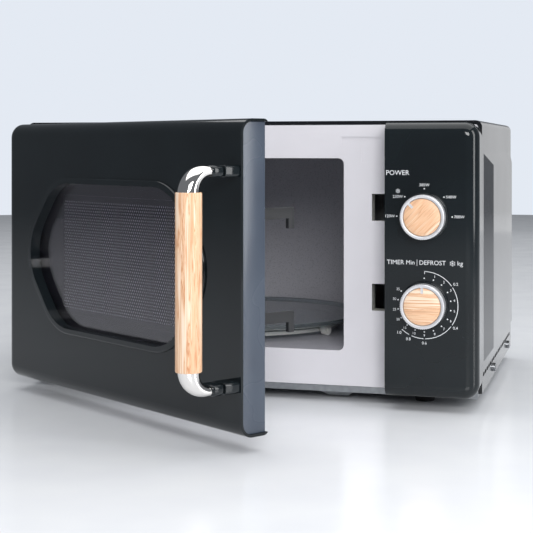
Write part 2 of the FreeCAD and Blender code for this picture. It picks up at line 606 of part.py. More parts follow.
def make_door():
    left = lambda e, w: along_y(e) and e.XMax < w.XMin + 1e-3
    rim = lambda e, w: front_face(e, w) and e.XMin < w.XMax - 1e-3
    heel = lambda e, w: e.XMax < w.XMin + 1e-3 and e.YMin > w.YMax - 1e-3
    shell = soft_block((DOOR_LEFT, DOOR_RIGHT), (FACE, DOOR_BACK), ("door_low", "door_high"),
                       [("corner_round", left), ("face_round", rim), ("pivot_round", heel)])
    inside = soft_block(
        (f"{DOOR_LEFT} + door_wall", f"{DOOR_RIGHT} + 1"), (DOOR_INSIDE, f"{DOOR_BACK} + 1"),
        ("door_low + door_wall", "door_high - door_wall"),
        [("corner_round - door_wall", left), ("face_round - door_wall", rim)])
    bead = window_form("0", (f"{FACE} - bead_rise", PANE_FRONT), "bead_round")
    hole = window_form("-bead", (f"{FACE} - 6", f"{PANE_FRONT} + 1"))
    notches = [
        block((f"{DOOR_LEFT} - 1", f"{PIVOT_X} + tongue_half + 1"),
              (f"{PIVOT_Y} - tongue_half - 3", f"{DOOR_BACK} + 1"),
              (f"{z} - tongue / 2 - hinge_gap - 2.4", f"{z} + tongue / 2 + hinge_gap + 2.4"))
        for z in pair("upper_hinge_z", "lower_hinge_z")
    ]
    screws = [rod("y", (f"{FACE} - 1", f"{FACE} + 4"), (HANDLE_X, z), "2.2")
              for z in pair("grip_low - elbow_bend", "grip_high + elbow_bend")]
    swing("door_shell", cut(join(cut(shell, inside), bead), hole, *notches, *screws))
    swing("window_pane", window_form("pane_lap - bead",
                                     (PANE_FRONT, f"{PANE_FRONT} + pane_thick")))

    screen_x = box_span(WINDOW_X, "screen_wide")
    screen_z = box_span("window_z", "screen_tall")
    frame_x = (f"{DOOR_LEFT} + frame_side", f"{DOOR_RIGHT} - frame_side - 2")
    frame_z = ("door_low + frame_side", "door_high - frame_side")
    frame_back = f"({FRAME_FRONT} + frame_deep)"
    pan = block(frame_x, (FRAME_FRONT, frame_back), frame_z)
    tray = block((f"{frame_x[0]} + 1", f"{frame_x[1]} - 1"),
                 (f"{FRAME_FRONT} + 1", f"{frame_back} + 1"),
                 (f"{frame_z[0]} + 1", f"{frame_z[1]} - 1"))
    view = block(screen_x, (f"{FRAME_FRONT} - 1", f"{FRAME_FRONT} + 3"), screen_z)
    swing("door_frame", cut(pan, tray, view))
    swing("perforated_screen", block(
        (f"{screen_x[0]} + 0.1", f"{screen_x[1]} - 0.1"),
        (f"{FRAME_FRONT} + 0.2", f"{FRAME_FRONT} + 0.2 + screen_sheet"),
        (f"{screen_z[0]} + 0.1", f"{screen_z[1]} - 0.1")))
    swing("inner_film", block(
        (f"{screen_x[0]} - 8", f"{screen_x[1]} + 8"),
        (f"{FRAME_FRONT} + 1", f"{FRAME_FRONT} + 1.5"),
        (f"{screen_z[0]} - 8", f"{screen_z[1]} + 8")))
    cover = block((f"{DOOR_LEFT} + 9", f"{DOOR_RIGHT} - 5"),
                  (f"{frame_back} + 0.1", DOOR_BACK), ("door_low + 4", "door_high - 4"))
    middle = soft_block((f"{CAVITY_LEFT} + 8", f"{CAVITY_RIGHT} - 8"),
                        (f"{frame_back} - 1", f"{DOOR_BACK} + 1"),
                        ("cavity_low + 8", f"{CAVITY_TOP} - 8"),
                        [("cavity_round + 4", lambda e, w: along_y(e))])
    gates = [
        block(box_span("hook_x", "hook_thick + 2"),
              (f"{frame_back} - 1", f"{DOOR_BACK} + 1"),
              (f"{low} + 1.6", f"{low} + slot_tall"))
        for low in pair("slot_low", "slot_high")
    ]
    relief = [
        block((f"{DOOR_LEFT} - 1", f"{PIVOT_X} + 30"),
              (f"{frame_back} - 1", f"{DOOR_BACK} + 1"), box_span(z, "18"))
        for z in pair("upper_hinge_z", "lower_hinge_z")
    ]
    swing("choke_cover", cut(cover, middle, *gates, *relief))
    swing("edge_insert", soft_block(
        (f"{DOOR_RIGHT} - 3.4", f"{DOOR_RIGHT} - 1.4"), (DOOR_INSIDE, f"{DOOR_BACK} - 2.6"),
        ("door_low + door_wall", "door_high - door_wall"),
        [("face_round - door_wall",
          lambda e, w: e.YLength + e.ZLength < 1e-3 and e.YMax < w.YMin + 1e-3)]))


def make_handle():
    """A wooden grip between two bright elbows on black arms."""
    top = "(grip_high + elbow_bend)"
    half = "arm_tall / 2"
    arms, elbows = [], []
    for z, end, sign in pair(
        (top, "grip_high", "+"), ("(grip_low - elbow_bend)", "grip_low", "-"),
    ):
        seam = f"({FACE} - seam_out)"
        span_z = (f"{z} - {half}", f"{z} + {half}")
        width = box_span(HANDLE_X, "arm_wide")
        arm = soft_block(width, (f"{seam} + 0.1", FACE), span_z,
                         [("2.4", lambda e, w: along_y(e))])
        pilot = rod("y", (f"{FACE} - 9", f"{FACE} + 1"), (HANDLE_X, z), "1.6")
        arms.append(cut(arm, pilot))
        corner_z = (end, span_z[1]) if sign == "+" else (span_z[0], end)
        outer = lambda e, w, s=sign: (
            e.YLength + e.ZLength < 1e-3 and e.YMax < w.YMin + 1e-3
            and (e.ZMin > w.ZMax - 1e-3 if s == "+" else e.ZMax < w.ZMin + 1e-3))
        elbow = soft_block(width, (f"{HANDLE_Y} - arm_wide / 2", seam), corner_z,
                           [(f"elbow_bend + {half} - 1", outer)])
        inner_y = f"({HANDLE_Y} + arm_wide / 2)"
        inner_z = ((f"{end} - 1", f"{z} - {half}") if sign == "+"
                   else (f"{z} + {half}", f"{end} + 1"))
        scoop = soft_block((f"{width[0]} - 1", f"{width[1]} + 1"),
                           (inner_y, f"{seam} + 1"), inner_z,
                           [(f"elbow_bend - {half} - 2", outer)])
        elbows.append(cut(elbow, scoop))
    swing("handle_arms", join(*arms))
    swing("chrome_elbows", join(*elbows))
    grip = rod("z", ("grip_low + 0.2", "grip_high - 0.2"), (HANDLE_X, HANDLE_Y), "grip_radius")
    swing("wood_grip", grip)
    screws = [
        join(rod("y", (DOOR_INSIDE, f"{DOOR_INSIDE} + 2.4"), (HANDLE_X, z), "4"),
             rod("y", (f"{FACE} - 8", DOOR_INSIDE), (HANDLE_X, z), "1.6"))
        for z in pair("(grip_low - elbow_bend)", top)
    ]
    swing("handle_screws", join(*screws))


def make_hinges():
    brackets, eyes = [], []
    for z in pair("upper_hinge_z", "lower_hinge_z"):
        foot = block((f"{PIVOT_X} - tongue_half", f"{PIVOT_X} + 12"),
                     (f"{FRONT} + plate_thick", f"{FRONT} + plate_thick + 1.5"),
                     (f"{z} - 9", f"{z} + 9"))
        tongue = block(box_span(PIVOT_X, "2 * tongue_half"),
                       (f"{PIVOT_Y} - tongue_half", f"{FRONT} + plate_thick + 1"),
                       box_span(z, "tongue"))
        pin = rod("z", box_span(z, "pin_long"), (PIVOT_X, PIVOT_Y), "pin_radius")
        brackets.append(join(foot, tongue, pin))
        ears = []
        for side in pair("", "-"):
            inner = f"{z} + {side}(tongue / 2 + hinge_gap)"
            outer = f"{z} + {side}(tongue / 2 + hinge_gap + 2)"
            span = (inner, outer) if side == "" else (outer, inner)
            ears.append(cut(
                block((f"{PIVOT_X} - 4.4", f"{DOOR_LEFT} + frame_side"),
                      (f"{PIVOT_Y} - 4.4", f"{PIVOT_Y} + 2.6"), span),
                rod("z", (f"{span[0]} - 1", f"{span[1]} + 1"), (PIVOT_X, PIVOT_Y),
                    "pin_radius + running")))
        bridge = block((f"{DOOR_LEFT} + frame_side - 2", f"{DOOR_LEFT} + frame_side"),
                       (f"{PIVOT_Y} - 4.4", f"{PIVOT_Y} + 2.6"),
                       box_span(z, "tongue + 2 * hinge_gap + 4"))
        eyes.append(join(*ears, bridge))
    keep("hinge_brackets", join(*brackets))
    swing("door_hinge_eyes", join(*eyes))


def make_latch():
    bar_front = f"({FRAME_FRONT} + 1.5)"
    bar_back = f"({FRAME_FRONT} + 6)"
    span_x = box_span("hook_x", "hook_thick")
    low = "(slot_low + hook_rise)"
    high = "(slot_high + hook_rise)"
    bar = block(span_x, (bar_front, bar_back), (f"{low} - 6", f"{high} + hook_tall + 6"))
    hooks = []
    for z in pair(low, high):
        hooks.append(block(span_x, (bar_back, f"{FRONT} + hook_reach"),
                           (z, f"{z} + hook_tall")))
        hooks.append(block(span_x, (f"{FRONT} + hook_reach - hook_tip", f"{FRONT} + hook_reach"),
                           (f"{z} - beak", z)))
    swing("latch_hooks", join(bar, *hooks))
    top = f"({high} + hook_tall + 6)"
    tube = rod("z", (top, f"{top} + 22"), ("hook_x", f"{bar_front} + 2.4"), "2.4")
    hole = rod("z", (f"{top} - 1", f"{top} + 23"), ("hook_x", f"{bar_front} + 2.4"), "1.6")
    swing("latch_spring", cut(tube, hole))


def make_interlock():
    back = f"({FRONT} + 25)"
    start = f"({FRONT} + plate_thick)"
    frame = block(("hook_x - 14", "slot_right + 5"), (start, back),
                  ("slot_low - 8", "slot_high + slot_tall + 8"))
    ways = [
        block(("slot_left - 2", "slot_right + 0.5"), (f"{start} - 1", f"{back} + 1"),
              (f"{low} - 1", f"{low} + slot_tall + 1"))
        for low in pair("slot_low", "slot_high")
    ]
    spots = pair("slot_low + 12", "slot_high + 12", "(slot_low + slot_high) / 2 + 12")
    plunger_y = f"{FRONT} + 19"
    bores = [rod("x", ("slot_right - 4", "slot_right + 8"), (plunger_y, z), "1.8")
             for z in spots[:2]]
    keep("latch_bracket", cut(frame, *ways, *bores))
    switches = []
    for number, z in enumerate(spots):
        case = block(("slot_right + 5", "slot_right + 15"), (f"{back} - 18", f"{back} + 8"),
                     box_span(z, "14"))
        if number < 2:
            case = cut(case, rod("x", ("slot_right + 4", "slot_right + 9"),
                                 (plunger_y, z), "1.6"))
        switches.append(case)
    keep("interlock_switches", join(*switches))
    keep("switch_plungers", join(*[
        rod("x", ("slot_right - 1.5", "slot_right + 6.5"), (plunger_y, z), "1.5")
        for z in spots[:2]]))


# ---- Turntable ---------------------------------------------------------------------

def make_turntable():
    centre = ("cavity_mid", TRAY_Y)
    case = rod("z", ("cavity_low - sheet - drive_tall", "cavity_low - sheet"), centre,
               "drive_radius")
    bore = rod("z", ("cavity_low - 9", "cavity_low"), centre, "3 + running")
    keep("turntable_motor", cut(case, bore))
    hub = rod("z", ("cavity_low + 0.8", f"{TRAY_LOW} - 0.3"), centre, "hub_radius")
    stem = rod("z", ("cavity_low - 8.5", "cavity_low + 1"), centre, "3")
    lobes = []
    for number in range(3):
        lobe = block(("0", "13"), ("-3", "3"), ("cavity_low + 4", f"{TRAY_LOW} - 0.3"))
        lobe.Placement = Placement(Vector(), Rotation(Vector(0, 0, 1), 120 * number))
        lobes.append(place(lobe, "cavity_mid", TRAY_Y, "cavity_low + 4"))
    keep("turntable_coupler", join(hub, stem, *lobes))
    low = TRAY_LOW
    edge = "tray_radius"
    keep("glass_tray", turned(
        [("0", low), ("tray_flat", low), (edge, f"{low} + tray_rim"),
         (edge, f"{low} + tray_rim + tray_thick"),
         (f"{edge} - 2.4", f"{low} + tray_rim + tray_thick"),
         ("tray_flat - 1.4", f"{low} + tray_thick"), ("0", f"{low} + tray_thick")],
        ("cavity_mid", TRAY_Y, "0")))
    ring = cut(rod("z", box_span(WHEEL_Z, "3.4"), centre, "ring_out"),
               rod("z", box_span(WHEEL_Z, "6"), centre, "ring_in"))
    axles = []
    for number in range(3):
        angle = f"first_wheel + {120 * number}"
        turn = f"rotation(vector(0; 0; 1); {angle})"
        flat = "rotation(vector(0; 1; 0); 90)"
        for kind, start, long, radius in pair(
            ("axle", "ring_in + 1", "wheel_ring + wheel_thick / 2 - ring_in", "axle_radius"),
            ("wheel", "wheel_ring - wheel_thick / 2", "wheel_thick", "wheel_radius"),
            ("bore", "wheel_ring - wheel_thick / 2 - 1", "wheel_thick + 2",
             "axle_radius + running"),
        ):
            piece = doc.addObject("Part::Cylinder", kind.title())
            bind(piece, Height=long, Radius=radius, Placement=(
                f"placement(vector(cavity_mid + ({start}) * cos(({angle}) * 1deg);"
                f"{TRAY_Y} + ({start}) * sin(({angle}) * 1deg); {WHEEL_Z}); {turn} * {flat})"))
            if kind == "axle":
                axles.append(piece)
            elif kind == "wheel":
                wheel = piece
            else:
                keep(f"roller_wheel_{number + 1}", cut(wheel, piece))
    keep("roller_ring", join(ring, *axles))


# ---- Works in the bay behind the panel ---------------------------------------------

def make_magnetron():
    left = "(cavity_mid + cavity_wide / 2 + sheet)"
    right = f"({left} + guide_wide)"
    guide = block((left, right), box_span("port_y", "2 * guide_half"),
                  ("guide_low", "guide_top"))
    hollow = block((f"{left} - 1", f"{right} - 1"), box_span("port_y", "2 * guide_half - 2"),
                   ("guide_low + 1", "guide_top - 1"))
    middle = ("port_y", "(guide_low + guide_top) / 2")
    mouth = rod("x", (f"{right} - 3", f"{right} + 3"), middle, "dome_radius + 1.5")
    keep("waveguide", cut(guide, hollow, mouth))
    tube_end = f"({right} + 62)"
    bracket = cut(
        block((right, f"{tube_end} + 2"), box_span("port_y", "76"),
              ("guide_low + 1", "guide_top - 1")),
        block((f"{right} + 1.5", f"{tube_end} + 0.5"), box_span("port_y", "80"),
              ("guide_low + 2.5", "guide_top - 2.5")),
        rod("x", (f"{right} - 1", f"{right} + 3"), middle, "dome_radius + 1.5"))
    keep("magnetron_bracket", bracket)
    fins = [
        block((f"{right} + {step} * fin_gap", f"{right} + {step} * fin_gap + fin_thick"),
              box_span("port_y", "70"), ("guide_low + 4", "guide_top - 4"))
        for step in range(1, 7)
    ]
    keep("magnetron_tube", join(
        rod("x", (f"{right} + 1.6", tube_end), middle, "tube_radius"),
        rod("x", (f"{right} - 14", f"{right} + 2"), middle, "dome_radius"), *fins))
    keep("thermal_cutout", join(
        rod("z", (f"{CAVITY_TOP} + sheet", f"{CAVITY_TOP} + sheet + 7"),
            ("cavity_mid + 40", "30"), "8"),
        block(box_span("cavity_mid + 40", "24"), box_span("30", "8"),
              (f"{CAVITY_TOP} + sheet", f"{CAVITY_TOP} + sheet + 1"))))


def make_power_supply():
    x0, x1 = "core_left", "(core_left + core_wide)"
    y = ("core_front", "core_front + core_deep")
    z0, z1 = f"({BASE_TOP} + 0.1)", f"({BASE_TOP} + 0.1 + core_tall)"
    inner_z = (f"{z0} + leg", f"{z1} - leg")
    first = (f"{x0} + leg", f"{x0} + leg + window_wide")
    second = (f"{x1} - leg - window_wide", f"{x1} - leg")
    holes = [block(span, (f"{y[0]} - 1", f"{y[1]} + 1"), inner_z)
             for span in pair(first, second)]
    keep("transformer_core", cut(block((x0, x1), y, (z0, z1)), *holes))
    coil_z = (f"{inner_z[0]} + 0.4", f"{inner_z[1]} - 0.4")
    ring = soft_block((f"{first[0]} + 0.4", f"{second[1]} - 0.4"),
                      (f"{y[0]} - coil_out", f"{y[1]} + coil_out"), coil_z,
                      [("coil_out - 4", lambda e, w: e.XLength + e.YLength < 1e-3)])
    leg = block((f"{first[1]} - 0.4", f"{second[0]} + 0.4"),
                (f"{y[0]} - 0.4", f"{y[1]} + 0.4"), (f"{coil_z[0]} - 1", f"{coil_z[1]} + 1"))
    keep("transformer_winding", cut(ring, leg))
    can_z = (f"{BASE_TOP} + 0.1", f"{BASE_TOP} + 0.1 + can_tall")
    can = soft_block(box_span("works_x", "can_wide"), ("can_front", "can_front + can_deep"),
                     can_z, [("can_round", lambda e, w: e.XLength + e.YLength < 1e-3)])
    tabs = [block(box_span("works_x", "0.8"), box_span(f"can_front + {at}", "6"),
                  (f"{can_z[1]} - 1", f"{can_z[1]} + 10")) for at in pair("17", "33")]
    keep("capacitor", join(can, *tabs))
    strap = soft_block(
        box_span("works_x", "can_wide + 2.4"),
        ("can_front - 1.2", "can_front + can_deep + 1.2"),
        (f"{can_z[0]} + 34", f"{can_z[0]} + 48"),
        [("can_round + 1.2", lambda e, w: e.XLength + e.YLength < 1e-3)])
    core = soft_block(
        box_span("works_x", "can_wide"), ("can_front", "can_front + can_deep"),
        (f"{can_z[0]} + 30", f"{can_z[0]} + 52"),
        [("can_round", lambda e, w: e.XLength + e.YLength < 1e-3)])
    leg = block((f"works_x + can_wide / 2 + 1", "works_x + can_wide / 2 + 3"),
                box_span("can_front + can_deep / 2", "14"),
                (f"{can_z[0]}", f"{can_z[0]} + 48"))
    keep("capacitor_clamp", join(cut(strap, core), leg))
    keep("high_voltage_diode", join(
        rod("z", (can_z[0], f"{can_z[0]} + 20"), ("works_x - 34", "can_front + 22"), "3"),
        rod("z", (can_z[0], f"{can_z[0]} + 2"), ("works_x - 34", "can_front + 22"), "6")))
    board_z = "casing_top - 22"
    keep("filter_board", join(
        block(("works_x - 30", "works_x + 36"), pair("60", "104"),
              (board_z, f"{board_z} + 1.6")),
        rod("z", (f"{board_z} + 1.6", f"{board_z} + 15"), ("works_x - 12", "82"), "9"),
        block(("works_x + 8", "works_x + 26"), pair("70", "94"),
              (f"{board_z} + 1.6", f"{board_z} + 13")),
        rod("y", pair("66", "98"), ("works_x + 31.5", f"{board_z} + 4.6"), "3.2")))


def make_fan():
    hub = ("works_x", "fan_z")
    shroud = block(box_span("works_x", "2 * shroud_half"), ("shroud_front", SHROUD_BACK),
                   box_span("fan_z", "2 * shroud_half"))
    tunnel = rod("y", ("shroud_front - 1", f"{SHROUD_BACK} + 1"), hub,
                 "fan_radius + fan_tip")
    keep("fan_shroud", cut(shroud, tunnel))
    motor_back = "(shroud_front - 4)"
    case = soft_block(box_span("works_x", "2 * motor_half"),
                      (f"{motor_back} - motor_deep", motor_back),
                      box_span("fan_z", "2 * motor_half"), [("3", lambda e, w: along_y(e))])
    arms = [block(box_span("works_x", "2 * shroud_half - 2"),
                  (f"{motor_back} - 2", "shroud_front - 0.1"),
                  box_span(f"fan_z + {side}(motor_half - 5)", "6")) for side in pair("", "-")]
    spindle = rod("y", (f"{motor_back} - motor_deep - 1", f"{motor_back} + 1"), hub,
                  "2 + running")
    keep("fan_motor", cut(join(case, *arms), spindle))
    pieces = [rod("y", (f"{motor_back} - 20", f"{SHROUD_BACK} - 6"), hub, "2"),
              rod("y", ("shroud_front + 4", f"{SHROUD_BACK} - 5"), hub, "11")]
    for number in range(5):
        blade = doc.addObject("Part::Box", "Blade")
        bind(blade, Length="fan_radius - 8.5", Width="1.4", Height="17", Placement=(
            f"placement(vector(works_x; shroud_front + 11; fan_z);"
            f"rotation(vector(0; 1; 0); {72 * number}) * rotation(vector(1; 0; 0); 38))"
            f"* placement(vector(8; -0.7; -8.5); rotation(vector(0; 0; 1); 0))"))
        pieces.append(blade)
    keep("fan_blade", join(*pieces))


def make_lamp():
    x = f"({CAVITY_RIGHT} + sheet)"
    bulb = join(rod("x", (f"{x} + 3", f"{x} + 20"), pair("94", "194"), "9"),
                rod("x", (f"{x} + 20", f"{x} + 30"), pair("94", "194"), "9", "5"))
    keep("cavity_lamp", bulb)
    box = block((x, f"{x} + 36"), pair("80", "108"), pair("180", "208"))
    hollow = block((f"{x} - 1", f"{x} + 30"), pair("82", "106"), pair("182", "206"))
    keep("lamp_holder", cut(box, hollow))


make_base()
make_front_plate()
make_cavity()
make_casing()
make_rear()
make_panel()
make_knob("power", "power_z", "power_turn")
make_knob("timer", "timer_z", "0")
make_door()
make_handle()
make_hinges()
make_latch()
make_interlock()
make_turntable()
make_magnetron()
make_power_supply()
make_fan()
make_lamp()
doc.recompute()

broken = [
    f"{piece.Label} ({piece.Name}): {piece.State}"
    for piece in doc.Objects if {"Invalid", "Error"} & set(piece.State)
]
broken += [
    f"{label}: bad shape" for label, piece in nodes.items()
    if piece.Shape.isNull() or not piece.Shape.isValid() or not piece.Shape.Solids
]
if broken:
    raise RuntimeError("not built: " + "; ".join(broken))
for label, piece in nodes.items():
    piece.Shape.exportStep(f"parts/{label}.step")
print(len(nodes), "nodes written")
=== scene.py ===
import json
import math

import bmesh
import bpy
from mathutils import Matrix, Vector


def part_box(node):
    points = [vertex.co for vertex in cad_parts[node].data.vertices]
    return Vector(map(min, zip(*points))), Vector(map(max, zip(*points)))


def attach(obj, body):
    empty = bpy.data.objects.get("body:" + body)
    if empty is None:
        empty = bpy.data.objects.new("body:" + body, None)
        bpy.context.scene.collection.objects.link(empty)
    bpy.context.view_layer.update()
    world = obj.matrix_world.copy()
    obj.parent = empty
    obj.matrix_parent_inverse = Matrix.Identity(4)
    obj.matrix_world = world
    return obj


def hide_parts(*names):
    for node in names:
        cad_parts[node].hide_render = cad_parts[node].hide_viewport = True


# Looks for a black countertop microwave oven with a swing door, a bow handle with a
# wooden grip and two rotary knobs.  Metres, in the CAD model's own frame.

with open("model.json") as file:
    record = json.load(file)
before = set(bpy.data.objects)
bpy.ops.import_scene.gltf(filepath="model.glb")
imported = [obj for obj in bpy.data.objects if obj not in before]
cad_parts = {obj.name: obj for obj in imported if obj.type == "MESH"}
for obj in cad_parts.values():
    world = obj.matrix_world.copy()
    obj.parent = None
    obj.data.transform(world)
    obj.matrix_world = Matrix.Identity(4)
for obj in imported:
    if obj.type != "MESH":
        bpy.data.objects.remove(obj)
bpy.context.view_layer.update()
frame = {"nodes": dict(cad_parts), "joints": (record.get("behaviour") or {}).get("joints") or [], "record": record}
MM = 0.001
JOINTS = {joint["name"]: joint for joint in frame["joints"]}
NODES = frame["nodes"]
NODE_BODY = {
    node: body
    for body, members in frame["record"]["behaviour"]["bodies"].items()
    for node in members
}
SLOTS = {entry["node"]: entry["material_slot"] for entry in frame["record"]["subparts"]}


# ---- Small helpers -----------------------------------------------------------------

def colour(code):
    """A linear colour from an sRGB hex code."""
    parts = [int(code[at:at + 2], 16) / 255 for at in (1, 3, 5)]
    return [p / 12.92 if p <= 0.04045 else ((p + 0.055) / 1.055) ** 2.4 for p in parts] + [1]


def add(tree, kind, settings=None, **links):
    """Adds a shader node; a link value is another node's socket, anything else a default."""
    made = tree.nodes.new(kind)
    for name, value in (settings or {}).items():
        setattr(made, name, value)
    for name, value in links.items():
        key = int(name[1:]) if name[1:].isdigit() else name.replace("_", " ")
        if isinstance(value, bpy.types.NodeSocket):
            tree.links.new(value, made.inputs[key])
        else:
            made.inputs[key].default_value = value
    return made


def finish_material(name, base, rough, **sockets):
    """A material with its principled shader set; returns it, its tree and the shader."""
    material = bpy.data.materials.new(name)
    material.use_nodes = True
    tree = material.node_tree
    shader = tree.nodes["Principled BSDF"]
    shader.inputs["Base Color"].default_value = colour(base)
    shader.inputs["Roughness"].default_value = rough
    for key, value in sockets.items():
        shader.inputs[key.replace("_", " ")].default_value = value
    return material, tree, shader


def place_on(tree, longer=(1, 1, 1), turn=(0, 0, 0)):
    """Object coordinates for a pattern that is drawn out along its axes, then turned."""
    where = add(tree, "ShaderNodeTexCoord").outputs["Object"]
    mapping = add(tree, "ShaderNodeMapping", {"vector_type": "TEXTURE"}, Vector=where,
                  Rotation=turn, Scale=longer)
    return mapping.outputs["Vector"]


def ramp(tree, factor, stops):
    """Noise turned into colours, from (place, code) stops in rising order."""
    made = add(tree, "ShaderNodeValToRGB", None, Fac=factor)
    made.color_ramp.elements[0].position = stops[0][0]
    made.color_ramp.elements[0].color = colour(stops[0][1])
    made.color_ramp.elements[1].position = stops[-1][0]
    made.color_ramp.elements[1].color = colour(stops[-1][1])
    for at, code in stops[1:-1]:
        made.color_ramp.elements.new(at).color = colour(code)
    return made.outputs["Color"]


def spread(tree, factor, low, high):
    """Noise turned into a range, as for roughness."""
    made = add(tree, "ShaderNodeMapRange", None, Value=factor)
    made.inputs["To Min"].default_value = low
    made.inputs["To Max"].default_value = high
    return made.outputs["Result"]


def noise(tree, vector, size_mm, detail=3.0):
    """Noise whose grains are about this many millimetres across."""
    return add(tree, "ShaderNodeTexNoise", None, Vector=vector, Scale=1 / (size_mm * MM),
               Detail=detail).outputs["Fac"]


def bump(tree, shader, height, depth_mm):
    """Relief of this depth on a shader."""
    made = add(tree, "ShaderNodeBump", None, Height=height, Distance=depth_mm * MM,
               Strength=1.0)
    tree.links.new(made.outputs["Normal"], shader.inputs["Normal"])


def surfaced(name, base, rough, grain_mm, depth_mm, tint=None, rough_to=None, **sockets):
    """A finish with a fine relief, a slow change of tone and an uneven gloss."""
    material, tree, shader = finish_material(name, base, rough, **sockets)
    where = place_on(tree)
    fine = noise(tree, where, grain_mm)
    slow = noise(tree, where, 60.0, 2.0)
    if tint:
        tree.links.new(ramp(tree, slow, [(0.35, base), (0.65, tint)]),
                       shader.inputs["Base Color"])
    tree.links.new(spread(tree, slow, rough, rough_to or rough * 1.4),
                   shader.inputs["Roughness"])
    bump(tree, shader, fine, depth_mm)
    return material


# ---- Materials ---------------------------------------------------------------------

def black_enamelled_steel():
    """Stoved black enamel on sheet steel: deep gloss with a faint orange peel."""
    return surfaced("black_enamelled_steel", "#0f1114", 0.10, 1.6, 0.004, "#121418", 0.16,
                    IOR=1.52)


def gloss_black_abs():
    """Moulded ABS from a polished tool: near-mirror black with the least ripple."""
    return surfaced("gloss_black_abs", "#14191c", 0.08, 5.0, 0.003, "#161c1f", 0.12,
                    IOR=1.42)


def white_enamelled_steel():
    """Pale enamel on the pressed front plate: soft satin with fine powder texture."""
    return surfaced("white_enamelled_steel", "#d9d7dc", 0.34, 0.9, 0.012, "#dddbe0", 0.42,
                    IOR=1.5)


def grey_cavity_enamel():
    """Wipe-clean grey enamel inside the oven, with small darker flecks."""
    material, tree, shader = finish_material("grey_cavity_enamel", "#b3b2b9", 0.36, IOR=1.5)
    where = place_on(tree)
    flecks = noise(tree, where, 1.1, 1.0)
    tone = ramp(tree, flecks, [(0.30, "#9a99a0"), (0.42, "#b3b2b9"), (1.0, "#bbbac1")])
    tree.links.new(tone, shader.inputs["Base Color"])
    tree.links.new(spread(tree, noise(tree, where, 30.0), 0.30, 0.44),
                   shader.inputs["Roughness"])
    bump(tree, shader, flecks, 0.01)
    return material


def galvanised_steel(name, base, light, dark):
    """Hot-dipped zinc: dull metal with spangles a few millimetres across."""
    material, tree, shader = finish_material(name, base, 0.4, Metallic=1.0)
    where = place_on(tree)
    spangle = add(tree, "ShaderNodeTexVoronoi", None, Vector=where, Scale=1 / (4.5 * MM))
    tone = ramp(tree, spangle.outputs["Distance"],
                [(0.0, light), (0.5, base), (1.0, dark)])
    tree.links.new(tone, shader.inputs["Base Color"])
    tree.links.new(spread(tree, noise(tree, where, 9.0), 0.32, 0.5),
                   shader.inputs["Roughness"])
    bump(tree, shader, spangle.outputs["Distance"], 0.01)
    return material


def brushed_steel(name, base, axis):
    """Drawn or turned steel: hair lines along one axis."""
    material, tree, shader = finish_material(name, base, 0.3, Metallic=1.0)
    longer = [1.0, 1.0, 1.0]
    longer["xyz".index(axis)] = 30.0
    hair = noise(tree, place_on(tree, longer), 0.35, 2.0)
    tree.links.new(spread(tree, hair, 0.22, 0.42), shader.inputs["Roughness"])
    bump(tree, shader, hair, 0.008)
    return material


def polished_chrome():
    """Bright chrome plating: a mirror with a trace of polishing haze."""
    material, tree, shader = finish_material("polished_chrome", "#e9e6e2", 0.05, Metallic=1.0)
    haze = noise(tree, place_on(tree), 14.0, 2.0)
    tree.links.new(spread(tree, haze, 0.04, 0.10), shader.inputs["Roughness"])
    bump(tree, shader, noise(tree, place_on(tree), 6.0), 0.002)
    return material


def satin_silver_plating():
    """Satin-plated trim on a moulded ring: soft silver, finely blasted."""
    return surfaced("satin_silver_plating", "#dcdcdf", 0.34, 0.4, 0.004, "#e6e6e8", 0.42,
                    Metallic=0.75)


def beech_foil(name, along, across_mm, turn=0.0):
    """Beech-look foil: pale pink-tan with orange-brown growth lines along one axis."""
    material, tree, shader = finish_material(name, "#e6bf9c", 0.42, IOR=1.48)
    longer = [1.0, 1.0, 1.0]
    longer["xyz".index(along)] = 26.0
    where = place_on(tree, longer, (0, turn, 0))
    warp = add(tree, "ShaderNodeTexNoise", None, Vector=where, Scale=1 / (14 * MM), Detail=2.0)
    lines = add(tree, "ShaderNodeTexNoise", None, Vector=where, Scale=1 / (across_mm * MM),
                Detail=4.0, Distortion=1.1)
    mixed = add(tree, "ShaderNodeMath", {"operation": "MULTIPLY_ADD"}, _0=warp.outputs["Fac"],
                _1=0.45)
    tree.links.new(lines.outputs["Fac"], mixed.inputs[2])
    tone = ramp(tree, mixed.outputs["Value"], [
        (0.52, "#f6dfc8"), (0.64, "#f1cfae"), (0.69, "#cf8f63"), (0.72, "#efc9a5"),
        (0.80, "#e3ad84"), (0.84, "#f0cba8"), (0.95, "#c07f55")])
    tree.links.new(tone, shader.inputs["Base Color"])
    tree.links.new(spread(tree, lines.outputs["Fac"], 0.36, 0.52), shader.inputs["Roughness"])
    pores = add(tree, "ShaderNodeTexNoise", None, Vector=where, Scale=1 / (0.5 * MM))
    bump(tree, shader, pores.outputs["Fac"], 0.02)
    return material


def smoked_glass():
    """Float glass tinted dark, so that the screen behind shows faintly."""
    return surfaced("smoked_glass", "#e2dfe8", 0.015, 30.0, 0.001, "#e5e2ea", 0.03,
                    IOR=1.5, Transmission_Weight=1.0)


def clear_film():
    """Thin polycarbonate film behind the screen, coloured milky pale so that the holes read pale: painted light,
    standing in for the bright room seen through the holes.
    """
    return surfaced("clear_film", "#f4f4fa", 0.2, 12.0, 0.002, "#fafaff", 0.3,
                    IOR=1.1, Transmission_Weight=0.2)


def tray_glass():
    """Pressed soda-lime glass with a faint grey-green body and a wavy surface."""
    return surfaced("tray_glass", "#b9c6cc", 0.04, 9.0, 0.01, "#c2ced3", 0.08,
                    IOR=1.5, Transmission_Weight=0.86)


def moulded(name, base, tint, rough=0.45, grain=0.7):
    """Injection-moulded plastic with a fine spark-eroded grain."""
    return surfaced(name, base, rough, grain, 0.015, tint, rough * 1.25, IOR=1.5)


